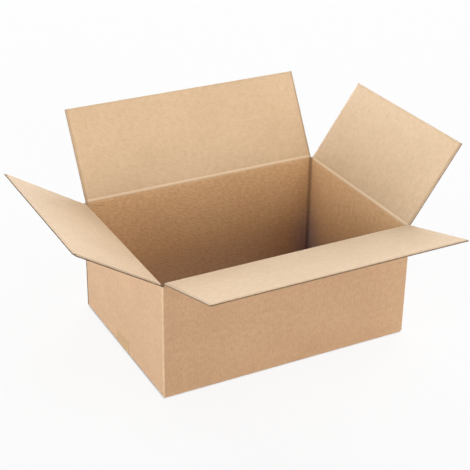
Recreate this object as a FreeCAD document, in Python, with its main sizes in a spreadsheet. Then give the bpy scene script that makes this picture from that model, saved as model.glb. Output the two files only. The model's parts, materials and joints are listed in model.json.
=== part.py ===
# Open cardboard box: one folded sheet of single-wall corrugated board, with four top flaps
# that fold on their creases and a bottom closed by four leaves under a strip of clear tape.
# Millimetres. Origin at the middle of the underside, +X along the long side, +Z up.
import FreeCAD, Part
import math
import os
import Sketcher

Vector = FreeCAD.Vector

SIZES = {
    "outer_length": 432.0,  # outside, along X
    "outer_width": 306.0,  # outside, along Y
    "crease_height": 196.0,  # ground to the crease of the front and back flaps
    "board": 3.0,  # single-wall board
    "liner": 0.35,  # the two flat papers
    "medium": 0.25,  # the fluted paper between them
    "flute_pitch": 6.4,  # one wave to the next
    "flute_crest": 2.2,  # flat of a wave where it is glued to a liner
    "web_margin": 0.15,  # trims each cell, for the slanted web beside it
    "flute_depth": 25.0,  # open length of the flutes behind a free edge
    "edge_channel": 1.5,  # hollow that a slot's cut leaves between the liners
    "fold_radius": 0.5,  # inside of the folds
    "slot_setback": 4.0,  # side edge of a flap to the corner of the box
    "leaf_gap": 0.3,  # air between two leaves folded over each other
    "seam_gap": 1.0,  # between the meeting edges of the bottom leaves
    "crease_thickness": 1.4,  # board pressed thin along a crease
    "crease_reach": 2.5,  # pressed strip on each side of a crease
    "crease_clearance": 0.3,  # axis to the edge of the pressed board
    "pivot_offset": 0.1,  # axis outside the outer liner
    "tab_width": 38.0,  # glued tab inside the back wall, from the face of the left wall
    "tab_thickness": 2.0,  # pressed by the gluing
    "tab_inset": 1.5,  # creases to the ends of the tab
    "tab_taper": 8.0,  # slant of its ends
    "joint_inset": 0.6,  # cut edge of the back wall to the face of the left wall
    "glue_fillet": 1.0,  # glue in the wedge between the tab's fold and the back wall
    "tape_width": 50.0,
    "tape_thickness": 0.1,
    "tape_rise": 20.0,  # tape on the end walls, above the folds
    "crushed_corner": 5.0,  # clipped front corner of the left flap
    "back_opening": 30.0,  # rest angles, out from straight up
    "front_opening": 74.0,
    "right_opening": 35.0,
    "left_opening": 58.0,
}

doc = FreeCAD.newDocument("open_box")
sheet = doc.addObject("Spreadsheet::Sheet", "Sizes")
for row, (alias, value) in enumerate(SIZES.items(), start=1):
    sheet.set(f"A{row}", alias)
    sheet.set(f"B{row}", str(value))
    sheet.setAlias(f"B{row}", alias)
doc.recompute()


def size(name):
    return f"Sizes.{name}"


board = size("board")
halfLength = f"{size('outer_length')} / 2"
halfWidth = f"{size('outer_width')} / 2"
setback = size("slot_setback")
outerFold = f"({size('fold_radius')} + {board})"
lowBase = size("tape_thickness")
highBase = f"({lowBase} + {board} + {size('leaf_gap')})"
highCrease = size("crease_height")
lowCrease = f"({highCrease} - {board} - {size('leaf_gap')})"
flapLength = f"({halfWidth} - {size('seam_gap')} / 2)"
longFlap = f"({size('outer_length')} - 2 * {setback})"
shortFlap = f"({size('outer_width')} - 2 * {setback})"
jointFlap = f"({shortFlap} - {board})"


def newBody(name):
    body = doc.addObject("PartDesign::Body", name)
    body.Label = name
    body.AllowCompound = True
    return body


def newSketch(body, name, plane, offset=None):
    sketch = body.newObject("Sketcher::SketchObject", name)
    support = next(f for f in body.Origin.OriginFeatures if f.Role == plane)
    sketch.AttachmentSupport = (support, [""])
    sketch.MapMode = "FlatFace"
    if offset:
        sketch.setExpression("AttachmentOffset.Base.z", offset)
    return sketch


# A corner of an outline is (across, up), or (across, up, radius, turn) where a round
# stretch ends there; turn is 1 for a turn to the left and -1 for one to the right.
def outline(sketch, corners):
    places = []
    for corner in corners:
        across = float(sketch.evalExpression(corner[0]))
        up = float(sketch.evalExpression(corner[1]))
        places.append(Vector(across, up, 0))
    first = sketch.GeometryCount
    for i, corner in enumerate(corners):
        start, end = places[i - 1], places[i]
        if len(corner) == 2:
            sketch.addGeometry(Part.LineSegment(start, end))
            continue
        radius = float(sketch.evalExpression(corner[2]))
        chord = end - start
        rise = math.sqrt(max(radius**2 - chord.Length**2 / 4, 0))
        side = Vector(-chord.y, chord.x, 0).normalize() * corner[3]
        centre = (start + end) / 2 + side * rise
        ring = Part.Circle(centre, Vector(0, 0, 1), radius)
        low, high = (start, end) if corner[3] > 0 else (end, start)
        turns = [math.atan2(p.y - centre.y, p.x - centre.x) for p in (low, high)]
        sketch.addGeometry(Part.ArcOfCircle(ring, turns[0], turns[1]))
    for i, corner in enumerate(corners):
        piece = first + i
        following = first + (i + 1) % len(corners)
        nextTurn = corners[(i + 1) % len(corners)]
        last = 1 if len(corner) > 2 and corner[3] < 0 else 2
        begin = 2 if len(nextTurn) > 2 and nextTurn[3] < 0 else 1
        sketch.addConstraint(Sketcher.Constraint("Coincident", piece, last, following, begin))
        limits = [("DistanceX", corner[0]), ("DistanceY", corner[1])]
        for kind, rule in limits:
            value = float(sketch.evalExpression(rule))
            held = sketch.addConstraint(Sketcher.Constraint(kind, -1, 1, piece, last, value))
            sketch.setExpression(f"Constraints[{held}]", rule)
        if len(corner) > 2:
            value = float(sketch.evalExpression(corner[2]))
            held = sketch.addConstraint(Sketcher.Constraint("Radius", piece, value))
            sketch.setExpression(f"Constraints[{held}]", corner[2])


def padOf(body, sketch, name, length, symmetric=True):
    pad = body.newObject("PartDesign::Pad", name)
    pad.Profile = sketch
    pad.SideType = "Symmetric" if symmetric else "One side"
    pad.setExpression("Length", length)
    return pad


# Wall and bottom leaf as one strip of board, bent inward at the bottom and pressed thin
# at the crease on top. side is 1 or -1, half the distance from the middle to the outer face.
def wallAndLeaf(sketch, side, half, base, crease, leafEnd):
    inner = f"({half} - {board})"
    pressed = f"({half} - {size('crease_thickness')})"
    landing = f"({crease} - {size('crease_clearance')})"
    ramp = f"({board} - {size('crease_thickness')})"
    reach = f"({crease} - {size('crease_reach')})"
    radius = size("fold_radius")
    strip = [
        (leafEnd, base),
        (f"{half} - {outerFold}", base),
        (half, f"{base} + {outerFold}", outerFold, side),
        (half, landing),
        (pressed, f"{landing} - {size('crease_thickness')}"),
        (pressed, reach),
        (inner, f"{reach} - {ramp}"),
        (inner, f"{base} + {outerFold}"),
        (f"{inner} - {radius}", f"{base} + {board}", radius, -side),
        (leafEnd, f"{base} + {board}"),
    ]
    outline(sketch, [(f"{side} * ({corner[0]})", *corner[1:]) for corner in strip])


# One corner column of the box, folded round the inner radius.
def cornerFold(sketch, sideX, sideY):
    radius = size("fold_radius")
    column = [
        (f"{halfLength} - {setback}", halfWidth),
        (f"{halfLength} - {setback}", f"{halfWidth} - {board}"),
        (f"{halfLength} - {outerFold}", f"{halfWidth} - {board}"),
        (f"{halfLength} - {board}", f"{halfWidth} - {outerFold}", radius, -sideX * sideY),
        (f"{halfLength} - {board}", f"{halfWidth} - {setback}"),
        (halfLength, f"{halfWidth} - {setback}"),
        (halfLength, f"{halfWidth} - {outerFold}"),
        (f"{halfLength} - {outerFold}", halfWidth, outerFold, sideX * sideY),
    ]
    sides = [(f"{sideX} * ({c[0]})", f"{sideY} * ({c[1]})", *c[2:]) for c in column]
    outline(sketch, sides)


# Glued corner at the back left: the left wall folds into the tab inside the back wall, and
# the back wall ends over the fold in a square cut edge.
def jointFold(sketch):
    radius = size("fold_radius")
    fillet = size("glue_fillet")
    seat = f"({halfWidth} - {board})"
    ramp = f"({board} - {size('tab_thickness')})"
    cutEdge = f"({halfLength} - {size('joint_inset')})"
    column = [
        (f"{halfLength} - {setback}", halfWidth),
        (f"{halfLength} - {setback}", seat),
        (f"{halfLength} - {outerFold} - {ramp}", seat),
        (f"{halfLength} - {outerFold} - {ramp}", f"{seat} - {size('tab_thickness')}"),
        (f"{halfLength} - {outerFold}", f"{seat} - {board}"),
        (f"{halfLength} - {board}", f"{seat} - {outerFold}", radius, 1),
        (f"{halfLength} - {board}", f"{seat} - {setback}"),
        (halfLength, f"{seat} - {setback}"),
        (halfLength, f"{seat} - {outerFold}"),
        (f"{halfLength} - {outerFold} + {fillet}",
         f"{seat} - {outerFold} + sqrt({outerFold}^2 - {fillet}^2)", outerFold, -1),
        (f"{halfLength} - {outerFold} + {fillet}", seat),
        (cutEdge, seat),
        (cutEdge, halfWidth),
    ]
    outline(sketch, [(f"-({corner[0]})", *corner[1:]) for corner in column])


def cartonBody():
    body = newBody("carton_body")

    longSketch = newSketch(body, "LongWalls", "YZ_Plane")
    for side in (1, -1):
        wallAndLeaf(longSketch, side, halfWidth, lowBase, highCrease, f"{size('seam_gap')} / 2")
    padOf(body, longSketch, "LongPanels", longFlap)
    leafEnd = f"{halfLength} - {flapLength}"
    endSketch = newSketch(body, "RightWall", "XZ_Plane")
    wallAndLeaf(endSketch, 1, halfLength, highBase, lowCrease, leafEnd)
    padOf(body, endSketch, "RightPanel", shortFlap)
    jointSketch = newSketch(body, "LeftWall", "XZ_Plane", f"{board} / 2")
    wallAndLeaf(jointSketch, -1, halfLength, highBase, lowCrease, leafEnd)
    padOf(body, jointSketch, "LeftPanel", jointFlap)

    cornerSketch = newSketch(body, "Corners", "XY_Plane", f"{lowBase} + {board}")
    for sideX, sideY in ((1, 1), (1, -1), (-1, -1)):
        cornerFold(cornerSketch, sideX, sideY)
    jointFold(cornerSketch)
    height = f"{lowCrease} - {lowBase} - {board}"
    padOf(body, cornerSketch, "CornerFolds", height, symmetric=False)

    # Tab glued inside the back wall, at the left corner, with slanted ends.
    tabSketch = newSketch(body, "Tab", "XZ_Plane", f"{board} - {halfWidth}")
    tabRoot = f"-({halfLength} - {outerFold})"
    tabEdge = f"-({halfLength} - {size('tab_width')})"
    tabLow = f"{highBase} + {board} + {size('tab_inset')}"
    tabHigh = f"{lowCrease} - {size('tab_inset')}"
    outline(tabSketch, [
        (tabRoot, tabLow),
        (tabEdge, f"{tabLow} + {size('tab_taper')}"),
        (tabEdge, f"{tabHigh} - {size('tab_taper')}"),
        (tabRoot, tabHigh),
    ])
    padOf(body, tabSketch, "GlueTab", size("tab_thickness"), symmetric=False)
    return body


# A flap lies in its own frame with the hinge axis on local X, the board rising along
# local Z and local Y pointing out of the box.
def flap(name, width, place, turn, opening, crushed=False):
    body = newBody(name)
    outer = f"-{size('pivot_offset')}"
    inner = f"({outer} - {board})"
    pressed = f"({outer} - {size('crease_thickness')})"
    landing = size("crease_clearance")
    reach = size("crease_reach")
    ramp = f"({board} - {size('crease_thickness')})"
    panel = newSketch(body, f"{name}_side", "YZ_Plane")
    outline(panel, [
        (outer, landing),
        (outer, flapLength),
        (inner, flapLength),
        (inner, f"{reach} + {ramp}"),
        (pressed, reach),
        (pressed, f"{landing} + {size('crease_thickness')}"),
    ])
    pad = padOf(body, panel, f"{name}_panel", width)
    doc.recompute()
    base = pad
    if crushed:
        half = float(sheet.evalExpression(width)) / 2
        tip = float(sheet.evalExpression(flapLength))
        ends = [e for e in pad.Shape.Edges if all(
            abs(v.X + half) < 1e-6 and abs(v.Z - tip) < 1e-6 for v in e.Vertexes)]
        edge = [i for i, e in enumerate(pad.Shape.Edges, start=1) if e.isSame(ends[0])][0]
        base = body.newObject("PartDesign::Chamfer", f"{name}_corner")
        base.Base = (pad, [f"Edge{edge}"])
        base.setExpression("Size", size("crushed_corner"))

    # Hollows of the cut edges: an open channel along each slot, and the wave's cells.
    outerLiner = f"({outer} - {size('liner')})"
    innerLiner = f"({inner} + {size('liner')})"
    channels = newSketch(body, f"{name}_slots", "XY_Plane", flapLength)
    for side in (1, -1):
        edge = f"{side} * {width} / 2"
        depth = f"{side} * ({width} / 2 - {size('edge_channel')})"
        outline(channels, [
            (edge, outerLiner), (depth, outerLiner), (depth, innerLiner), (edge, innerLiner)])
    channelCut = body.newObject("PartDesign::Pocket", f"{name}_channels")
    channelCut.Profile = channels
    channelCut.setExpression("Length", f"{flapLength} - {reach} - {ramp}")

    wideHalf = f"({size('flute_pitch')} - {size('flute_crest')} - {size('web_margin')}) / 2"
    slimHalf = f"({size('flute_crest')} - {size('web_margin')}) / 2"
    firstCell = f"({size('edge_channel')} + {size('medium')} + {wideHalf})"
    spread = f"({width} - 2 * {firstCell})"
    wave = newSketch(body, f"{name}_wave", "XY_Plane", flapLength)
    middles = [
        (f"({firstCell} - {width} / 2)", outerLiner, f"{innerLiner} + {size('medium')}"),
        (f"({firstCell} - {width} / 2 + {size('flute_pitch')} / 2)", innerLiner,
         f"{outerLiner} - {size('medium')}"),
    ]
    for middle, glued, crest in middles:
        outline(wave, [
            (f"{middle} - {wideHalf}", glued),
            (f"{middle} + {wideHalf}", glued),
            (f"{middle} + {slimHalf}", crest),
            (f"{middle} - {slimHalf}", crest),
        ])
    cells = body.newObject("PartDesign::Pocket", f"{name}_cells")
    cells.Profile = wave
    cells.setExpression("Length", size("flute_depth"))
    flutes = body.newObject("PartDesign::LinearPattern", f"{name}_flutes")
    flutes.Originals = [cells]
    flutes.Direction = (wave, ["H_Axis"])
    flutes.Mode = "Extent"
    count = f"round({spread} / {size('flute_pitch')} + 0.5)"
    flutes.setExpression("Occurrences", count)
    flutes.setExpression("Length", f"{spread} * ({count} - 1) / ({count} - 0.5)")
    body.Tip = flutes
    turned = f"rotation(vector(0; 0; 1); {turn}) * rotation(vector(1; 0; 0); -{opening})"
    body.setExpression("Placement", f"placement(vector({place}); {turned})")
    return body


def bottomTape():
    body = newBody("bottom_tape")
    film = size("tape_thickness")
    profile = newSketch(body, "TapeSide", "XZ_Plane")
    top = f"{highBase} + {outerFold} + {size('tape_rise')}"
    right = [
        (f"{halfLength} - {setback}", "0"),
        (f"{halfLength} + {film}", highBase),
        (f"{halfLength} + {film}", top),
        (halfLength, top),
        (halfLength, highBase),
        (f"{halfLength} - {setback}", lowBase),
    ]
    left = [(f"-({across})", up) for across, up in reversed(right)]
    outline(profile, right + left)
    padOf(body, profile, "Tape", size("tape_width"))
    return body


pivotY = f"({halfWidth} + {size('pivot_offset')})"
pivotX = f"({halfLength} + {size('pivot_offset')})"
parts = [
    cartonBody(),
    bottomTape(),
    flap("back_flap", longFlap, f"0; {pivotY}; {highCrease}", "0", size("back_opening")),
    flap("front_flap", longFlap, f"0; -{pivotY}; {highCrease}", "180", size("front_opening")),
    flap("right_flap", shortFlap, f"{pivotX}; 0; {lowCrease}", "-90", size("right_opening")),
    flap("left_flap", jointFlap, f"-{pivotX}; -{board} / 2; {lowCrease}", "90",
         size("left_opening"), crushed=True),
]
doc.recompute()

for thing in doc.Objects:
    if "Invalid" in thing.State or "Error" in thing.State:
        raise RuntimeError(f"{thing.Name} could not be built")
for part in parts:
    if part.Shape.isNull() or not part.Shape.isValid() or len(part.Shape.Solids) != 1:
        raise RuntimeError(f"{part.Label} is not one valid solid")

os.makedirs("parts", exist_ok=True)
for part in parts:
    part.Shape.exportStep(f"parts/{part.Label}.step")
    low, high = part.Shape.BoundBox.ZMin, part.Shape.BoundBox.ZMax
    print(f"{part.Label}: {part.Shape.Volume:.0f} mm3, from {low:.1f} to {high:.1f} mm high")
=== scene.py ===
import json
import math

import bpy
import numpy as np
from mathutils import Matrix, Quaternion, Vector


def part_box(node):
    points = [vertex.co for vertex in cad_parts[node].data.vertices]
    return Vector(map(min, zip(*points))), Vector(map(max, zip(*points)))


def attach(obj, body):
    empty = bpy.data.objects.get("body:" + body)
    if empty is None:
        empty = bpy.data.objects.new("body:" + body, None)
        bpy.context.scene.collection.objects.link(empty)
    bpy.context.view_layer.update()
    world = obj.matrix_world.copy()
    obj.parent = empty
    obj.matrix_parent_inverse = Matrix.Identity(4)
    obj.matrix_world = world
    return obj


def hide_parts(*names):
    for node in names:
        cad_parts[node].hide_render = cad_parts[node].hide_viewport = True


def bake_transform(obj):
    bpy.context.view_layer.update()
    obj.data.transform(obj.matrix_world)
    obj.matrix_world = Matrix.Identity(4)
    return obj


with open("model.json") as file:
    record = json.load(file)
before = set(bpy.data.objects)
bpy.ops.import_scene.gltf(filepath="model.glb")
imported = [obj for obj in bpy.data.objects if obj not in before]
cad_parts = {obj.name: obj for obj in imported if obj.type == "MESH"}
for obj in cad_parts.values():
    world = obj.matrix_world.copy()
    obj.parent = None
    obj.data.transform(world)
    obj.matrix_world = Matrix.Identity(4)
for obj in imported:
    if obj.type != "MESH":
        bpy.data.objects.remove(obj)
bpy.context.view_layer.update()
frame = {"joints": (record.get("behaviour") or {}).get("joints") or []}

# The box is one flat blank of corrugated board: along the blank run the glued tab and the left,
# front, right and back walls, and up the blank run the flutes. A point of the blank is
# (along, up, depth below the outer face), and place() folds it to where it stands.
blank = {
    "board": 0.003,
    "liner": 0.00035,
    "medium": 0.00028,
    "flutePitch": 0.0064,
    "pressed": 0.0025,  # thickness along a crease
    "creaseReach": 0.0012,
    "creaseRamp": 0.0040,
    "foldPressed": 0.0016,  # thickness along the upright folds
    "foldReach": 0.0030,
    "knifePressed": 0.0014,  # thickness at a free cut edge, squeezed by the die
    "knifeSpread": 0.0004,
    "knifeReach": 0.0040,
    "insideFold": 0.0005,
    "setback": 0.0040,  # flap's side edge to the corner
    "leafGap": 0.0003,
    "seamGap": 0.001,
    "tabWidth": 0.038,
    "tabThickness": 0.002,
    "tabInset": 0.0015,
    "tabPressed": 0.0008,  # thickness at the glued tab's edges
    "tabTaper": 0.008,
    "jointInset": 0.0006,  # cut edge of the back wall to the face of the left wall
    "film": 0.0001,
    "crushed": 0.005,
    "step": 0.008,  # size of the mesh's cells
    "fineStep": 0.0005,
    "rootStrip": 0.009,  # a flap's mesh starts this far below its crease
    "waveCells": 12,
    "waveInset": 0.0003,  # fluting to the flap's free edge
    "waveMargin": 0.0006,  # and to its side edges
    "waveRoot": 0.0085,  # start of the fluting below the crease
    "waveFill": 0.98,  # share of the space between the liners
    "squeezeWaves": ((700, 930), (230, 310)),  # along and up, for how hard the die squeezes
    "knifeStart": 0.001,  # pressed cut edges start this far above the crease
    "warpFade": 0.02,
    "warpInset": 0.004,
    "bend": 0.0044,  # length of board that bends at a crease
    "bendFrom": 0.003,
    "edgeStrip": 0.006,  # finer cells along a flap's edges
    "edgeStep": 0.001,
    "flapStep": 0.0025,
    "creaseStrip": 0.005,
    "rootStep": 0.002,
    "foldCells": 6,
    "bottomCells": 5,
    "sideStep": 0.0012,
    "tabEdge": 0.006,  # width of the tab's pressed edges
    "tabBlend": 0.008,
}
joints = {j["child"]: j for j in frame["joints"]}
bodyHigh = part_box("carton_body")[1]
halfLength, halfWidth = bodyHigh.x, bodyHigh.y
cornerRadius = blank["insideFold"] + blank["board"]
flapLength = halfWidth - blank["seamGap"] / 2
lowBase = blank["film"]
highBase = lowBase + blank["board"] + blank["leafGap"]


# A wall: the outward and the along direction, half its outer width, how far its face is from
# the middle, the height of its foot, and the hinge of its flap, which closes 90 degrees inward.
def wallData(outward, along, half, reach, base, body):
    joint = joints[body]
    return {
        "outward": np.array(outward, float), "along": np.array(along, float), "half": half,
        "reach": reach, "base": base, "crease": joint["pos_m"][2],
        "opening": math.radians(-joint["range_deg"][0] - 90),
        "pivot": abs(Vector(joint["pos_m"]).dot(Vector(outward))) - reach,
    }


walls = {
    "left": wallData((-1, 0, 0), (0, -1, 0), halfWidth, halfLength, highBase, "left"),
    "front": wallData((0, -1, 0), (1, 0, 0), halfLength, halfWidth, lowBase, "front"),
    "right": wallData((1, 0, 0), (0, 1, 0), halfWidth, halfLength, highBase, "right"),
    "back": wallData((0, 1, 0), (-1, 0, 0), halfLength, halfWidth, lowBase, "back"),
}
order = ["left", "front", "right", "back"]
arcLength = math.pi / 2 * cornerRadius
tabEnd = blank["tabWidth"] - cornerRadius  # straight part of the tab
start = tabEnd + arcLength
for name in order:
    wall = walls[name]
    overlap = blank["board"] if name == "left" else 0  # the back wall laps over the tab's fold
    wall["flat"] = 2 * (wall["half"] - cornerRadius) - overlap
    wall["from"] = start
    wall["middle"] = start + wall["half"] - cornerRadius - overlap
    start += wall["flat"] + arcLength
blankEnd = walls["back"]["from"] + walls["back"]["flat"] + cornerRadius - blank["jointInset"]


def smooth(t):
    t = np.clip(t, 0, 1)
    return t * t * (3 - 2 * t)


# Slow waves of the board, zero at 0 and 1 along each side, for panels that aren't quite flat.
def panelWarp(across, up, seed, amount):
    rng = np.random.default_rng(seed)
    total = np.zeros_like(across)
    for wide in (1, 2, 3, 5):
        for high in (1, 2):
            part = np.sin(math.pi * wide * across) * np.sin(math.pi * high * up)
            total += rng.uniform(-1, 1) / (wide * high) * part
    return amount * total


def thickness(wallName, along, up):
    wall = walls[wallName]
    gap = np.abs(up - wall["crease"]) - blank["creaseReach"]
    rise = blank["board"] - blank["pressed"]
    thick = blank["pressed"] + rise * smooth(gap / blank["creaseRamp"])
    inset = blank["setback"] - cornerRadius
    side = np.minimum(along - wall["from"], wall["from"] + wall["flat"] - along) - inset
    edge = np.minimum(wall["crease"] + flapLength - up, side)
    fine, broad = (np.sin(along * a + up * b) for a, b in blank["squeezeWaves"])
    squeeze = smooth(fine * broad * 1.2 + 0.45)
    low = blank["knifePressed"] + blank["knifeSpread"] * squeeze
    knife = low + (blank["board"] - low) * smooth(edge / blank["knifeReach"])
    onFlap = up > wall["crease"] + blank["knifeStart"]
    return np.where(onFlap, np.minimum(thick, knife), thick)


# seed and size of each panel's warp, and a flap's share of it
warps = {"left": (3, 0.0006), "front": (5, 0.0009), "right": (8, 0.0008), "back": (13, 0.0009)}
flapWarp = 0.45


# Place of points over one wall, its bottom leaf and its top flap, at rest.
def placeOnWall(wallName, along, up, depth):
    wall = walls[wallName]
    across = along - wall["middle"]
    share = np.clip((along - wall["from"]) / wall["flat"], 0, 1)
    crease, base = wall["crease"], wall["base"]
    foldStart = base + cornerRadius
    seed, amount = warps[wallName]
    fade = blank["warpFade"]
    inWall = smooth((up - foldStart) / fade) * smooth((crease - blank["warpInset"] - up) / fade)
    height = np.clip((up - foldStart) / (crease - foldStart), 0, 1)
    out = panelWarp(share, height, seed, amount) * inWall - depth
    level = up.copy()
    # the bottom leaf bends inward round the fold
    turn = np.clip((foldStart - up) / cornerRadius, 0, math.pi / 2)
    run = np.maximum(foldStart - up - arcLength, 0)
    low = up < foldStart
    radius = cornerRadius - depth
    out = np.where(low, -cornerRadius + radius * np.cos(turn) - run, out)
    level = np.where(low, foldStart - radius * np.sin(turn), level)
    # the top flap bends outward round the crease
    lift = up - crease
    flapShare = np.clip(lift / flapLength, 0, 1)
    bow = panelWarp(share, flapShare, seed + 1, amount * flapWarp) * smooth(lift / fade)
    out = np.where(lift > 0, out + bow, out)
    weight = smooth((lift + blank["bend"] / 2) / blank["bend"])
    angle = weight * wall["opening"]
    fromAxis = out - wall["pivot"]
    turnedOut = fromAxis * np.cos(angle) + lift * np.sin(angle)
    turnedUp = lift * np.cos(angle) - fromAxis * np.sin(angle)
    high = lift > -blank["bendFrom"]
    out = np.where(high, turnedOut + wall["pivot"], out)
    level = np.where(high, turnedUp + crease, level)
    point = np.outer(across, wall["along"]) + np.outer(wall["reach"] + out, wall["outward"])
    point[:, 2] += level
    return point


# The folded corner after a wall: a quarter turn to the next wall.
def placeOnCorner(outward, nextOutward, centre, angle, up, depth):
    radius = cornerRadius - depth
    point = np.outer(radius * np.cos(angle), outward) + np.outer(radius * np.sin(angle), nextOutward)
    point += centre
    point[:, 2] = up
    return point


def place(along, up, depth):
    along, up, depth = (np.asarray(a, float) for a in (along, up, depth))
    point = np.zeros((len(along), 3))
    for i, name in enumerate(order):
        wall = walls[name]
        begin, stop = wall["from"], wall["from"] + wall["flat"]
        last = name == "back"
        on = (along >= begin) & ((along <= stop) | last)
        point[on] = placeOnWall(name, along[on], up[on], depth[on])
        previous = walls[order[i - 1]] if i else walls["back"]
        fold = (along > begin - arcLength) & (along < begin)
        corner = previous["outward"] * (previous["reach"] - cornerRadius)
        corner = corner + wall["outward"] * (wall["reach"] - cornerRadius)
        if not i:
            corner = corner - previous["outward"] * blank["board"]
        angle = (along[fold] - begin + arcLength) / cornerRadius
        point[fold] = placeOnCorner(
            previous["outward"], wall["outward"], corner, angle, up[fold], depth[fold])
    tab = along <= tabEnd
    point[tab, 0] = -halfLength + cornerRadius + tabEnd - along[tab]
    point[tab, 1] = halfWidth - blank["board"] - depth[tab]
    point[tab, 2] = up[tab]
    return point


# Distances from the crease above, from the fold below and from the nearest upright fold.
def foldDistances(along, up):
    crease = np.full(len(along), walls["left"]["crease"])
    bottom = np.full(len(along), highBase)
    for name in order:
        wall = walls[name]
        on = (along > wall["from"] - 1e-9) & (along < wall["from"] + wall["flat"] + 1e-9)
        crease[on] = wall["crease"]
        bottom[on] = wall["base"]
    middles = [walls[name]["from"] - arcLength / 2 for name in order]
    side = np.min([np.abs(along - middle) for middle in middles + [blankEnd]], axis=0)
    return np.stack([up - crease, up - bottom - cornerRadius + arcLength / 2, side], 1)


def boardThickness(along, up):
    result = np.full(len(along), blank["board"])
    for name in order:
        wall = walls[name]
        on = (along >= wall["from"] - 1e-9) & (along <= wall["from"] + wall["flat"] + 1e-9)
        result[on] = thickness(name, along[on], up[on])
    pressing = smooth((along - tabEnd) / arcLength)
    tab = along < walls["left"]["from"]
    tabRise = blank["board"] - blank["tabThickness"]
    result[tab] = blank["tabThickness"] + tabRise * pressing[tab]
    middles = [walls[name]["from"] - arcLength / 2 for name in order]
    near = np.min([np.abs(along - middle) for middle in middles], axis=0) - arcLength / 2
    foldRise = blank["board"] - blank["foldPressed"]
    folded = blank["foldPressed"] + foldRise * smooth(near / blank["foldReach"])
    onWall = up < walls["left"]["crease"]
    return np.where(onWall, np.minimum(result, folded), result)


def gridLines(*spans):
    lines = []
    for low, high, step in spans:
        count = max(1, round((high - low) / step))
        lines.extend(np.linspace(low, high, count + 1))
    lines = np.array(sorted(lines))
    return lines[np.concatenate(([True], np.diff(lines) > 1e-7))]


# A slab of the blank between two depths, closed round its rim. kept says which cells exist.
# Each face's material is 0 outside, 1 inside and 2 on the rim.
def slab(alongLines, upLines, kept, top, under, faces=(0, 1, 2), nudge=None):
    along, up = np.meshgrid(alongLines, upLines, indexing="ij")
    along, up = along.ravel(), up.ravel()
    columns = len(upLines)
    i, j = np.nonzero(kept)
    corner = i * columns + j
    quads = np.stack([corner, corner + columns, corner + columns + 1, corner + 1], 1)
    padded = np.pad(kept, 1)
    rims = []
    for di, dj, a, b in ((0, -1, 0, 1), (1, 0, 1, 2), (0, 1, 2, 3), (-1, 0, 3, 0)):
        open = ~padded[i + 1 + di, j + 1 + dj]
        rims.append(quads[open][:, [b, a]])
    rims = np.concatenate(rims)
    used, inverse = np.unique(np.concatenate([quads.ravel(), rims.ravel()]), return_inverse=True)
    quads = inverse[:quads.size].reshape(-1, 4)
    rims = inverse[quads.size:].reshape(-1, 2)
    along, up = along[used], up[used]
    if nudge:
        along, up = nudge(along, up)
    total = len(along)
    thick = boardThickness(along, up)
    depths = [top(along, up, thick), under(along, up, thick)]
    points = np.concatenate([place(along, up, d) for d in depths])
    flat = np.concatenate([np.stack([along, up, d / thick], 1) for d in depths])
    folds = np.concatenate([foldDistances(along, up)] * 2)
    allFaces = np.concatenate([
        quads, quads[:, ::-1] + total,
        np.stack([rims[:, 0], rims[:, 1], rims[:, 1] + total, rims[:, 0] + total], 1)])
    materials = np.repeat(faces, [len(quads), len(quads), len(rims)])
    return points, allFaces, materials, flat, folds


# One mesh object from several slabs, with the blank's coordinates and the distances to its
# folds kept as attributes.
def boardObject(name, slabs, materials):
    points, faces, kinds, flats, folds, offset = [], [], [], [], [], 0
    for p, f, m, flat, fold in slabs:
        points.append(p)
        faces.append(f + offset)
        kinds.append(m)
        flats.append(flat)
        folds.append(fold)
        offset += len(p)
    points, faces = np.concatenate(points), np.concatenate(faces)
    mesh = bpy.data.meshes.new(name)
    mesh.vertices.add(len(points))
    mesh.vertices.foreach_set("co", points.astype(np.float32).ravel())
    mesh.loops.add(faces.size)
    mesh.loops.foreach_set("vertex_index", faces.ravel().astype(np.int32))
    mesh.polygons.add(len(faces))
    mesh.polygons.foreach_set("loop_start", np.arange(0, faces.size, 4, dtype=np.int32))
    mesh.polygons.foreach_set("material_index", np.concatenate(kinds).astype(np.int32))
    for material in materials:
        mesh.materials.append(material)
    mesh.update(calc_edges=True)
    for label, values in (("flat", flats), ("folds", folds)):
        attribute = mesh.attributes.new(label, "FLOAT_VECTOR", "POINT")
        attribute.data.foreach_set("vector", np.concatenate(values).astype(np.float32).ravel())
    mesh.validate()
    mesh.shade_smooth()
    mesh.set_sharp_from_angle(angle=math.radians(40))
    piece = bpy.data.objects.new(name, mesh)
    bpy.context.scene.collection.objects.link(piece)
    return piece


# A socket with the usual operators, so shader maths reads as sums.
class Signal:
    def __init__(self, finish, socket):
        self.finish = finish
        self.socket = socket

    def maths(self, operation, first, second=None):
        values = {0: first} if second is None else {0: first, 1: second}
        return self.finish.node("ShaderNodeMath", {"operation": operation}, values)

    def __add__(self, other):
        return self.maths("ADD", self, other)

    def __radd__(self, other):
        return self.maths("ADD", other, self)

    def __sub__(self, other):
        return self.maths("SUBTRACT", self, other)

    def __rsub__(self, other):
        return self.maths("SUBTRACT", other, self)

    def __mul__(self, other):
        return self.maths("MULTIPLY", self, other)

    def __rmul__(self, other):
        return self.maths("MULTIPLY", other, self)

    def size(self):
        return self.maths("ABSOLUTE", self)

    def sine(self):
        return self.maths("SINE", self)

    def step(self, low, high):
        ranges = {"From Min": low, "From Max": high}
        settings = {"interpolation_type": "SMOOTHSTEP"}
        return self.finish.node("ShaderNodeMapRange", settings, {"Value": self, **ranges})


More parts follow.
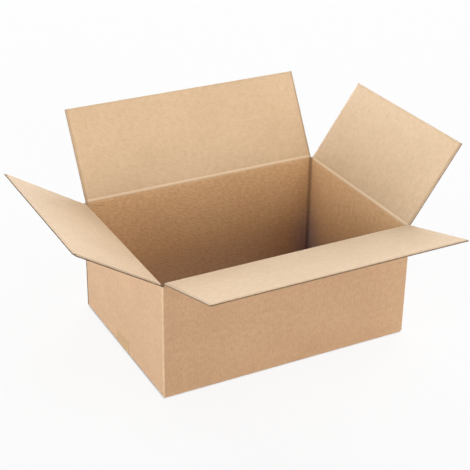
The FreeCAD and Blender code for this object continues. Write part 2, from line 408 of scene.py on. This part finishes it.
# Nodes of one material or of the world.
class Finish:
    def __init__(self, owner):
        self.owner = owner
        owner.use_nodes = True
        self.tree = owner.node_tree

    def node(self, kind, settings=None, values=None, output=0):
        made = self.tree.nodes.new(kind)
        for key, value in (settings or {}).items():
            setattr(made, key, value)
        for key, value in (values or {}).items():
            self.put(made.inputs[key], value)
        return Signal(self, made.outputs[output])

    def put(self, target, value):
        if isinstance(value, Signal):
            self.tree.links.new(value.socket, target)
        elif target.type == "RGBA":
            target.default_value = (*value, 1)
        else:
            target.default_value = value

    def mix(self, factor, first, second, blend="MIX"):
        settings = {"data_type": "RGBA", "blend_type": blend}
        return self.node("ShaderNodeMix", settings, {0: factor, 6: first, 7: second}, 2)

    def stretched(self, vector, scale):
        values = {0: vector, 1: scale}
        return self.node("ShaderNodeVectorMath", {"operation": "MULTIPLY"}, values)

    def noise(self, vector, scale, detail=3.0, rough=0.5):
        values = {"Vector": vector, "Scale": scale, "Detail": detail, "Roughness": rough}
        return self.node("ShaderNodeTexNoise", {}, values)

    def greater(self, first, second):
        return self.node("ShaderNodeMath", {"operation": "MAXIMUM"}, {0: first, 1: second})

    def attribute(self, name):
        return self.node("ShaderNodeAttribute", {"attribute_name": name}, output=1)

    def parts(self, vector):
        return [self.node("ShaderNodeSeparateXYZ", {}, {0: vector}, i) for i in range(3)]

    def bump(self, height, strength, distance):
        values = {"Height": height, "Strength": strength, "Distance": distance}
        return self.node("ShaderNodeBump", {}, values)

    def set(self, **values):
        shader = self.tree.nodes["Principled BSDF"]
        for key, value in values.items():
            self.put(shader.inputs[key.replace("_", " ")], value)
        return self.owner


kraft = {
    "outside": {
        "colour": (0.465, 0.276, 0.137), "pale": (0.56, 0.352, 0.192),
        "warm": (0.375, 0.207, 0.093), "mottle": (260.0, 170.0, 50.0), "slope": 0.0,
    },
    "inside": {
        "colour": (0.60, 0.415, 0.235), "pale": (0.69, 0.50, 0.305),
        "warm": (0.50, 0.325, 0.165), "mottle": (130.0, 340.0, 50.0), "slope": 0.45,
    },
    "rubbed": (0.82, 0.64, 0.43),  # painted highlight along a crease and the upright folds, paler along the foot too
    # dark flecks, and the painted shade beside the upright folds inside
    "fleck": (0.27, 0.16, 0.08),
    "cloudScale": 95.0,  # unevenness of the paper, per metre
    "broadScale": 11.0,
    "walls": (1.095, 1.005, 0.885),  # painted bounce light and shade: the liner inside, below the creases, warmer and less blue
    "depths": (0.88, 0.92, 1.12),  # painted shade, darker and bluer low down in the box
    # painted shade, darker and purple, low in the box's inside corners
    "corners": (0.70, 0.77, 1.2),
    "fibreScale": (380.0, 2600.0, 40.0),  # fibres lie along the blank
    "fleckScale": (520.0, 900.0, 50.0),
    "dentScale": (190.0, 140.0, 20.0),
    "washPitch": blank["flutePitch"],
    "creaseLine": (0.0008, 0.0026),  # distances over which the painted highlights and shade beside folds fade
    "cornerLine": (0.0006, 0.0020),
    "footLine": (0.0014, 0.0042),
    "besideLine": (0.0064, 0.0078),
    "bumpDepth": 0.0006,
    "roughness": 0.62,
    "gloss": 1.0,
}


# Kraft liner: cloudy paper with fibres along the blank, dark flecks and faint flute lines, with a
# painted highlight along the crease and folds, and painted bounce light and shade inside the box.
def kraftLiner(name, side):
    f = Finish(bpy.data.materials.new(name))
    flat = f.attribute("flat")
    along, up, face = f.parts(flat)
    aboveCrease, aboveBottom, beside = f.parts(f.attribute("folds"))
    sheet = f.stretched(flat, (1.0, 1.0, 0.35))
    broad = f.noise(sheet, kraft["broadScale"], 2.0, 0.5)
    cloud = f.noise(sheet, kraft["cloudScale"], 3.0, 0.6)
    paper = kraft[side]
    slanted = {"X": along, "Y": up - along * paper["slope"], "Z": face}
    slanted = f.node("ShaderNodeCombineXYZ", {}, slanted)
    mottle = f.noise(f.stretched(slanted, paper["mottle"]), 1.0, 2.0, 0.6)
    fibre = f.noise(f.stretched(flat, kraft["fibreScale"]), 1.0, 3.0, 0.65)
    fleck = f.noise(f.stretched(flat, kraft["fleckScale"]), 1.0, 1.0, 0.5).step(0.73, 0.79)
    wash = (along * (2 * math.pi / kraft["washPitch"])).sine()
    inBox = (1 - aboveCrease.step(-0.005, 0.0)) * (1 if side == "inside" else 0)
    uneven = (mottle - 0.5) * (inBox * 1.3 + 0.8)
    tone = (cloud - 0.5) * 0.6 + uneven + (fibre - 0.5) * 0.5 + (broad - 0.5) * 0.4
    colour = f.mix((tone + wash * 0.02 + 0.5).step(0.05, 0.95), paper["warm"], paper["pale"])
    colour = f.mix(0.3, colour, paper["colour"])
    colour = f.mix(fleck * 0.25, colour, kraft["fleck"])
    # patches that break up the painted highlight along the folds
    highlightPatches = (mottle * 0.6 + cloud * 0.6).step(0.35, 0.85)
    crease = 1 - aboveCrease.size().step(*kraft["creaseLine"])
    corner = 1 - beside.step(*kraft["cornerLine"])
    foot = 1 - aboveBottom.size().step(*kraft["footLine"])
    if side == "inside":
        # painted bounce light and shade: the inside below the creases warmer, and darker and bluer
        # low down
        colour = f.mix(inBox, colour, kraft["walls"], "MULTIPLY")
        colour = f.mix(1 - aboveBottom.step(0.01, 0.10), colour, kraft["depths"], "MULTIPLY")
        # painted highlight along the crease
        colour = f.mix(crease * 0.85, colour, kraft["rubbed"])
        # painted shade in a band beside the upright folds inside, in the fleck colour
        colour = f.mix((1 - beside.step(*kraft["besideLine"])) * 0.5, colour, kraft["fleck"])
        # painted shade, darker and purple, low in the inside corners
        cornerShade = (1 - beside.step(0.004, 0.055)) * (1 - aboveBottom.step(0.02, 0.14))
        cornerShade = cornerShade * aboveBottom.step(-0.004, 0.004)
        colour = f.mix(cornerShade, colour, kraft["corners"], "MULTIPLY")
    else:
        # painted highlight along the upright folds and the crease, paler along the foot too, in
        # patches
        rubbed = f.greater(corner, f.greater(foot * 0.6, crease)) * (highlightPatches * 0.5 + 0.4)
        colour = f.mix(rubbed * 0.5, colour, kraft["rubbed"])
    dents = f.noise(f.stretched(flat, kraft["dentScale"]), 1.0, 2.0, 0.55)
    height = dents * 0.5 + mottle * 0.8 + fibre * 0.14 + wash * (0.09 - inBox * 0.06)
    rough = kraft["roughness"] + (cloud - 0.5) * 0.15
    normal = f.bump(height, inBox * 0.4 + 0.3, kraft["bumpDepth"])
    return f.set(Base_Color=colour, Roughness=rough, Normal=normal,
                 Specular_IOR_Level=kraft["gloss"])


cutEdge = {
    # painted shade: the edge's paper darker than the liner, and the hollows of the flutes near black
    "paper": (0.33, 0.21, 0.115),
    "hollow": (0.03, 0.018, 0.009),
    "raggedScale": (1500.0, 1500.0, 8.0),
    "closedScale": (110.0, 110.0, 1.0),  # dashes where the liners are pressed together
    "roughness": 0.85,
}


# Cut edge of the board: two lines of paper with the fluting paper's wave between them, and painted
# shade, near black, in the flute hollows; the paper is darkened with painted shade too.
def cutBoard(name):
    f = Finish(bpy.data.materials.new(name))
    flat = f.attribute("flat")
    along, _, face = f.parts(flat)
    wave = (along * (2 * math.pi / kraft["washPitch"])).sine() * 0.36 + 0.5
    paper = 1 - (face - wave).size().step(0.05, 0.13)
    rim = (face - 0.5).size().step(0.33, 0.40)
    ragged = f.noise(f.stretched(flat, cutEdge["raggedScale"]), 1.0, 2.0)
    dashes = f.stretched(flat, cutEdge["closedScale"])
    closed = f.noise(dashes, 1.0, 3.0, 0.7).step(0.46, 0.56)
    closed = f.greater(closed * 0.8, 1 - along.step(tabEnd - 0.001, tabEnd))
    shown = f.greater(f.greater(paper, rim) * 0.6, closed) * (0.7 + ragged * 0.5)
    # painted shade: near-black hollows between darkened paper
    colour = f.mix(shown, cutEdge["hollow"], cutEdge["paper"])
    return f.set(Base_Color=colour, Roughness=cutEdge["roughness"],
                 Normal=f.bump(ragged, 0.4, 0.0003))


fluting = {
    "dark": (0.22, 0.13, 0.065),
    "pale": (0.36, 0.225, 0.12),
    "grainScale": (800.0, 800.0, 5.0),
    "roughness": 0.85,
}


def flutePaper(name):
    f = Finish(bpy.data.materials.new(name))
    grain = f.noise(f.stretched(f.attribute("flat"), fluting["grainScale"]), 1.0, 3.0)
    colour = f.mix(grain, fluting["dark"], fluting["pale"])
    return f.set(Base_Color=colour, Roughness=fluting["roughness"],
                 Normal=f.bump(grain, 0.3, 0.0002))


linerOut = kraftLiner("kraft_outside", "outside")
linerIn = kraftLiner("kraft_inside", "inside")
cutMaterial = cutBoard("cut_board")
fluteMaterial = flutePaper("flute_paper")
boardFinishes = [linerOut, linerIn, cutMaterial, fluteMaterial]
print("finishes made")


# Carton: tab, four walls and their bottom leaves in one slab of the blank.
def cartonPiece():
    step, sideStep = blank["step"], blank["sideStep"]
    foldStep = arcLength / blank["foldCells"]
    alongSpans = [(0, tabEnd, step), (tabEnd, walls["left"]["from"], foldStep)]
    upSpans = []
    for name in order:
        wall = walls[name]
        inset = blank["setback"] - cornerRadius
        low, high = wall["from"], wall["from"] + wall["flat"]
        fine = inset + blank["foldReach"] + 0.001
        alongSpans += [(low, low + inset, inset), (low + inset, low + fine, sideStep)]
        alongSpans += [(low + fine, high - fine, step)]
        alongSpans += [(high - fine, high - inset, sideStep), (high - inset, high, inset)]
        if name != "back":
            alongSpans += [(high, high + arcLength, foldStep)]
        foldStart = wall["base"] + cornerRadius
        leafLow = foldStart - arcLength - flapLength + cornerRadius
        upSpans += [(leafLow, foldStart - arcLength, step * 1.5)]
        upSpans += [(foldStart - arcLength, foldStart, arcLength / blank["bottomCells"])]
        upSpans += [(foldStart, wall["crease"] - blank["rootStrip"], step)]
    lowCrease = walls["left"]["crease"]
    cornerLow = lowBase + blank["board"]
    tabLow = highBase + blank["board"] + blank["tabInset"]
    tabHigh = lowCrease - blank["tabInset"]
    upSpans += [(cornerLow, tabLow, step), (tabLow, tabHigh, step), (tabHigh, lowCrease, step)]
    alongSpans += [(blankEnd - 0.003, blankEnd, 0.001)]
    alongLines, upLines = gridLines(*alongSpans), gridLines(*upSpans)
    upLines = upLines[upLines <= lowCrease + 1e-7]
    midAlong, midUp = np.meshgrid(
        (alongLines[1:] + alongLines[:-1]) / 2, (upLines[1:] + upLines[:-1]) / 2, indexing="ij")
    kept = (midUp > cornerLow) & (midUp < lowCrease) & (midAlong < blankEnd)
    onTab = midAlong < tabEnd
    kept &= ~onTab | ((midUp > tabLow) & (midUp < tabHigh))
    for name in order:
        wall = walls[name]
        inset = blank["setback"] - cornerRadius
        inner = (midAlong > wall["from"] + inset)
        inner &= (midAlong < wall["from"] + wall["flat"] - inset)
        foldStart = wall["base"] + cornerRadius
        leafLow = foldStart - arcLength - flapLength + cornerRadius
        kept[inner] = ((midUp > leafLow) & (midUp < wall["crease"] - blank["rootStrip"]))[inner]

    # the tab's ends slant toward its free edge
    def slantTab(along, up):
        middle, half = (tabHigh + tabLow) / 2, (tabHigh - tabLow) / 2
        short = blank["tabTaper"] * np.clip(1 - along / tabEnd, 0, 1)
        return along, middle + (up - middle) * (half - short) / half

    # and its edges are pressed thin, so they hardly show
    def innerFace(along, up, thick):
        edge = np.minimum(np.minimum(up - tabLow, tabHigh - up), along)
        pressed = 1 - smooth(edge / blank["tabEdge"])
        pressed = pressed * smooth((tabEnd - along) / blank["tabBlend"])
        return thick + (blank["tabPressed"] - thick) * pressed

    outer = slab(alongLines, upLines, kept, lambda a, u, t: t * 0, innerFace, nudge=slantTab)
    piece = boardObject("carton", [outer], boardFinishes)
    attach(piece, "carton")
    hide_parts("carton_body")
    return piece


# Top flap with its crease: two liners with the fluted paper between them.
def flapPiece(name):
    wall = walls[name]
    crease = wall["crease"]
    inset = blank["setback"] - cornerRadius
    left, right = wall["from"] + inset, wall["from"] + wall["flat"] - inset
    tip = crease + flapLength
    edge, edgeStep, strip = blank["edgeStrip"], blank["edgeStep"], blank["creaseStrip"]
    alongLines = gridLines(
        (left, left + edge, edgeStep), (left + edge, right - edge, blank["flapStep"]),
        (right - edge, right, edgeStep))
    upLines = gridLines(
        (crease - blank["rootStrip"], crease - strip, blank["rootStep"]),
        (crease - strip, crease + strip, blank["fineStep"]),
        (crease + strip, tip - edge, blank["step"]), (tip - edge, tip, edgeStep))
    kept = np.ones((len(alongLines) - 1, len(upLines) - 1), bool)

    # the left flap's front corner is crushed in
    def crush(along, up):
        if name != "left":
            return along, up
        short = blank["crushed"] - (right - along) - (tip - up)
        push = np.maximum(short, 0) / 2
        return along - push, up - push

    paper = blank["liner"]
    shells = [
        slab(alongLines, upLines, kept, lambda a, u, t: t * 0, lambda a, u, t: t * 0 + paper,
             (0, 3, 2), crush),
        slab(alongLines, upLines, kept, lambda a, u, t: t - paper, lambda a, u, t: t,
             (3, 1, 2), crush),
    ]
    margin, root = blank["waveMargin"], blank["waveRoot"]
    waveLines = gridLines((left + margin, right - margin, blank["flutePitch"] / blank["waveCells"]))
    waveUp = gridLines(
        (crease - root, crease - strip, root - strip), (crease - strip, crease + strip, edgeStep),
        (crease + strip, tip - blank["waveInset"], blank["step"] * 2))
    waveKept = np.ones((len(waveLines) - 1, len(waveUp) - 1), bool)
    thin = blank["medium"] / 2

    def waveDepth(along, up, thick):
        swing = (thick / 2 - paper - thin) * blank["waveFill"]
        return thick / 2 + swing * np.sin(2 * math.pi * along / blank["flutePitch"])

    shells.append(slab(
        waveLines, waveUp, waveKept, lambda a, u, t: waveDepth(a, u, t) - thin,
        lambda a, u, t: waveDepth(a, u, t) + thin, (3, 3, 3)))
    piece = boardObject(f"{name}_flap_board", shells, boardFinishes)
    half = wall["opening"] / 2
    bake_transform(piece)
    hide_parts(f"{name}_flap")
    return piece


carton = cartonPiece()
print("carton built")
flaps = [flapPiece(name) for name in order]
print("flaps built")

tape = {
    "width": 0.050,
    "film": 0.00006,
    "rise": 0.020,  # above the folds of the end walls
    "toothPitch": 0.0021,
    "toothDepth": 0.0011,
    "colour": (0.74, 0.56, 0.27),
    "wet": (0.66, 0.47, 0.18),  # where the film lies close on the board
    "airScale": (330.0, 330.0, 1.0),
    "pulledScale": (25.0, 520.0, 1.0),
    "opacity": 0.16,
    "under": 0.00001,  # underside of the film above the board
    "cells": (60, 7, 14),  # under the box, on the slant and up the wall
    "rows": 97,
    "sawnReach": 0.004,
    "wrinkle": 0.00003,
    "wrinkleWaves": (700, 240),  # across and along the strip
}


# Clear packing tape: a faint yellow film, clearer in specks where air is trapped beneath it.
def clearTape(name):
    f = Finish(bpy.data.materials.new(name))
    flat = f.attribute("flat")
    air = f.noise(f.stretched(flat, tape["airScale"]), 1.0, 3.0, 0.6)
    pulled = f.noise(f.stretched(flat, tape["pulledScale"]), 1.0, 2.0, 0.5)
    colour = f.mix(air.step(0.42, 0.72), tape["wet"], tape["colour"])
    normal = f.bump(pulled * 0.6 + air * 0.4, 0.3, 0.0002)
    return f.set(Base_Color=colour, Roughness=0.14 + air * 0.16, Normal=normal,
                 Alpha=tape["opacity"] - air.step(0.5, 0.8) * 0.08, Specular_IOR_Level=0.6)


# Strip of tape along the bottom seam, up both end walls, with sawn ends. A point of it is
# (distance along the strip, across), and the strip is closed with the film's thickness.
def tapePiece():
    foldStart = highBase + cornerRadius
    corner = (halfLength + blank["film"], highBase)
    landing = (halfLength - blank["setback"], 0.0)
    slant = math.dist(corner, landing)
    wallLength = foldStart + tape["rise"] - highBase
    reach = landing[0] + slant + wallLength
    stops = (0, landing[0], landing[0] + slant, reach)
    runs = [np.linspace(a, b, n) for a, b, n in zip(stops, stops[1:], tape["cells"])]
    half = np.concatenate([runs[0], runs[1][1:], runs[2][1:]])
    lines = np.concatenate([-half[:0:-1], half])
    rows = np.linspace(-tape["width"] / 2, tape["width"] / 2, tape["rows"])
    strip, across = (a.ravel() for a in np.meshgrid(lines, rows, indexing="ij"))
    tooth = np.abs((across / tape["toothPitch"]) % 1 - 0.5) * 2 * tape["toothDepth"]
    far = np.abs(strip)
    last = smooth((far - reach + tape["sawnReach"]) / tape["sawnReach"])
    far = far - tooth * last
    shells = []
    for film in (tape["film"], tape["under"]):
        run = far - landing[0]
        climb = np.clip(run / slant, 0, 1)
        x = np.where(run < 0, far, landing[0] + climb * (corner[0] - landing[0]))
        z = np.where(run < 0, 0, climb * corner[1])
        up = np.maximum(run - slant, 0)
        z = z + up
        sideways, lengthways = tape["wrinkleWaves"]
        wrinkle = tape["wrinkle"] * np.sin(across * sideways + strip * lengthways) * (run < 0)
        x = x - np.where(up > 0, tape["film"] - film, 0)
        point = np.stack([np.sign(strip) * x, across, z + (tape["film"] - film) * (run < slant)], 1)
        point[:, 2] = np.maximum(point[:, 2] + wrinkle, 0)
        for name in ("left", "right"):
            on = (up + highBase > foldStart) & (np.sign(strip) == walls[name]["outward"][0])
            along = walls[name]["middle"] + across * walls[name]["along"][1]
            point[on] = placeOnWall(name, along[on], (up + highBase)[on], np.full(on.sum(), -film))
        shells.append(point)
    count, columns = len(strip), len(rows)
    i, j = np.meshgrid(np.arange(len(lines) - 1), np.arange(columns - 1), indexing="ij")
    i, j = i.ravel(), j.ravel()
    corners = i * columns + j
    quads = np.stack([corners, corners + columns, corners + columns + 1, corners + 1], 1)[:, ::-1]
    rim = np.concatenate([
        np.arange(columns), np.arange(1, len(lines)) * columns + columns - 1,
        (len(lines) - 1) * columns + np.arange(columns - 2, -1, -1),
        np.arange(len(lines) - 2, 0, -1) * columns])
    following = np.roll(rim, -1)
    rimQuads = np.stack([rim, rim + count, following + count, following], 1)[:, ::-1]
    faces = np.concatenate([quads, quads[:, ::-1] + count, rimQuads])
    flat = np.tile(np.stack([strip, across, far * 0], 1), (2, 1))
    slabs = [(np.concatenate(shells), faces, np.zeros(len(faces), int), flat, flat * 0)]
    piece = boardObject("tape_strip", slabs, [clearTape("clear_tape")])
    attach(piece, "carton")
    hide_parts("bottom_tape")
    return piece


tapePiece()
print("tape laid")

# Soft lamps far off, by the side that they shine from: azimuth (0 in front, 90 to the right),
# elevation, strength and how warm the light is. Most stand low, so little light falls straight
# into the box.
studio = {
    "floorSize": 8.0,
    "floorDrop": 0.0003,  # below the box's underside
    "floorColour": (0.9, 0.9, 0.9),
    "darkInset": (0.003, 0.0005),  # the floor's dark patch, inside the edges of the box
    "sky": (0.035, 0.042, 0.07),
    "floorGlow": 0.86,  # share of plain white in the floor where it is seen
    "softness": 38.0,  # how wide a lamp looks, in degrees
    "lamps": {
        "front": (0, 8, 1.48, 0.07),
        "frontLeft": (315, 8, 0.86, -0.02),
        "left": (270, 8, 2.12, -0.04),
        "leftHigh": (270, 30, 0.22, 0.05),
        "backLeft": (225, 8, 0.73, -0.06),
        "back": (180, 8, 2.75, 0.0),
        "backRight": (135, 25, 1.50, 0.0),
        "right": (90, 30, 0.52, 0.0),
        "frontRight": (45, 30, 0.47, 0.0),
        "high": (45, 58, 0.52, 0.0),
    },
}


def softLamp(name, azimuth, elevation, strength, warmth):
    lamp = bpy.data.lights.new(name, "SUN")
    lamp.angle = math.radians(studio["softness"])
    lamp.energy = strength
    lamp.color = (1 + warmth, 1, 1 - warmth)
    holder = bpy.data.objects.new(name, lamp)
    aside, rise = math.radians(azimuth), math.radians(elevation)
    source = (math.sin(aside) * math.cos(rise), -math.cos(aside) * math.cos(rise), math.sin(rise))
    holder.location = source
    holder.rotation_mode = "QUATERNION"
    holder.rotation_quaternion = Vector(source).to_track_quat("Z", "Y")
    bpy.context.scene.collection.objects.link(holder)


for name, lamp in studio["lamps"].items():
    softLamp(name, *lamp)


# Seen directly, in gloss or through film, the sky is white and the floor nearly so.
def whereSeen(finish):
    rays = [finish.node("ShaderNodeLightPath", output=f"Is {kind} Ray")
            for kind in ("Camera", "Glossy", "Transmission")]
    return finish.greater(rays[0], finish.greater(rays[1], rays[2]))


world = bpy.data.worlds.new("studio")
bpy.context.scene.world = world
sky = Finish(world)
glow = sky.node("ShaderNodeBackground", {}, {"Color": studio["sky"], "Strength": 1.0})
whiteSky = sky.node("ShaderNodeBackground", {}, {"Color": (1, 1, 1), "Strength": 1.0})
skyShader = sky.node("ShaderNodeMixShader", {}, {0: whereSeen(sky), 1: glow, 2: whiteSky})
sky.put(sky.tree.nodes["World Output"].inputs["Surface"], skyShader)

bpy.ops.mesh.primitive_plane_add(size=studio["floorSize"], location=(0, 0, -studio["floorDrop"]))
floor = bpy.context.object
floor.name = "floor"
floorFinish = Finish(bpy.data.materials.new("floor_paper"))
floor.data.materials.append(floorFinish.set(
    Base_Color=studio["floorColour"], Roughness=0.9, Specular_IOR_Level=0.1))
floorPaper = Signal(floorFinish, floorFinish.tree.nodes["Principled BSDF"].outputs[0])
whiteFloor = floorFinish.node("ShaderNodeEmission", {}, {"Color": (1, 1, 1), "Strength": 1.0})
# the floor under the box stays dark, as seen through the bottom seam
east, north, _ = floorFinish.parts(floorFinish.node("ShaderNodeTexCoord", output="Object"))
darkFrom, darkTo = studio["darkInset"]
clear = floorFinish.greater(
    east.size().step(halfLength - darkFrom, halfLength - darkTo),
    north.size().step(halfWidth - darkFrom, halfWidth - darkTo))
glowShare = whereSeen(floorFinish) * clear * studio["floorGlow"]
floorShader = floorFinish.node(
    "ShaderNodeMixShader", {}, {0: glowShare, 1: floorPaper, 2: whiteFloor})
floorFinish.put(floorFinish.tree.nodes["Material Output"].inputs["Surface"], floorShader)

camera = {
    "azimuth": -28.062,
    "elevation": 27.352,
    "roll": 0.896,
    "distance": 2.0115,
    "target": (-0.01244, 0.00879, 0.15611),
    "focal": 1245.8,  # in pixels of a picture 470 wide
    "picture": 470,
    "sensor": 36.0,
}
turn, tilt = math.radians(camera["azimuth"]), math.radians(camera["elevation"])
back = Vector((math.sin(turn) * math.cos(tilt), -math.cos(turn) * math.cos(tilt), math.sin(tilt)))
lens = bpy.data.cameras.new("camera")
lens.sensor_width = camera["sensor"]
lens.lens = camera["focal"] / camera["picture"] * camera["sensor"]
viewer = bpy.data.objects.new("camera", lens)
viewer.location = Vector(camera["target"]) + back * camera["distance"]
viewer.rotation_mode = "QUATERNION"
roll = Quaternion((0, 0, 1), math.radians(camera["roll"]))
viewer.rotation_quaternion = back.to_track_quat("Z", "Y") @ roll
bpy.context.scene.collection.objects.link(viewer)
bpy.context.scene.camera = viewer
bpy.context.scene.view_settings.view_transform = "Standard"
print("studio ready")
